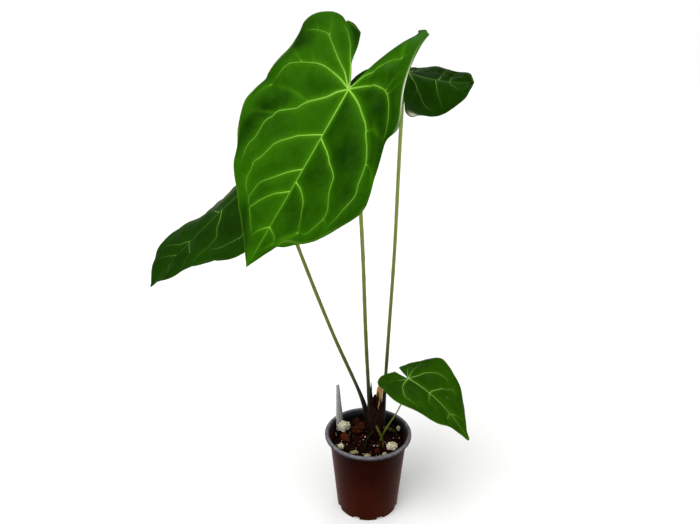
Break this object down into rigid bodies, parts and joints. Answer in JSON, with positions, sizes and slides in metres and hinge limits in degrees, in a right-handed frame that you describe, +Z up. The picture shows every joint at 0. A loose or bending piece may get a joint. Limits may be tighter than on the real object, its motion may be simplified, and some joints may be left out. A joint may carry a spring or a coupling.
{
  "type": "potted anthurium magnificum",
  "caption": "Living aroid house plant with heart-shaped, pale-veined leaves on long petioles, rooted in a thin tapered nursery pot of coarse bark mix.",
  "frame": {"origin": "middle of the pot's flat underside", "axes": "+Z up the plant; seen from the picture's side, +X is to the right and +Y is away"},
  "size_m": [0.3437, 0.2199, 0.5762],
  "materials": {
    "pot_plastic": "thin dark red-brown plastic, satin, black inside and round the rim",
    "potting_mix": "damp dark bark-based mix, coarse and matt",
    "bark": "orange-brown fir bark, rough and matt",
    "pumice": "pale pumice and perlite, pitted and matt",
    "stem_husk": "near black-brown dry leaf sheaths over the stem",
    "young_sheath": "tan papery sheath with paler edges",
    "root": "yellow-green to brown aerial root, matt",
    "petiole": "smooth olive-green stalk, darker at its foot",
    "blade_bright": "bright green leaf, soft sheen, pale yellow-green veins and margin",
    "blade_dark": "dark green leaf, soft sheen, pale veins and margin",
    "blade_mid": "mid-green leaf, soft sheen, pale veins and margin",
    "label_plastic": "bare pale grey-white plastic tag"
  },
  "bodies": {
    "root": {"pot": "pot_plastic", "potting_mix": "potting_mix", "stem": "stem_husk", "new_leaf_sheath": "young_sheath", "plant_label": "label_plastic", "petiole_1": "petiole", "petiole_2": "petiole", "petiole_3": "petiole", "petiole_4": "petiole", "blade_1": "blade_bright", "blade_2": "blade_dark", "blade_3": "blade_dark", "blade_4": "blade_mid", "root_1": "root", "root_2": "root", "root_3": "root", "pumice_1": "pumice", "pumice_2": "pumice", "pumice_3": "pumice", "pumice_4": "pumice", "pumice_5": "pumice", "pumice_6": "pumice", "pumice_7": "pumice", "bark_1": "bark", "bark_2": "bark", "bark_3": "bark"}
  },
  "joints": []
}
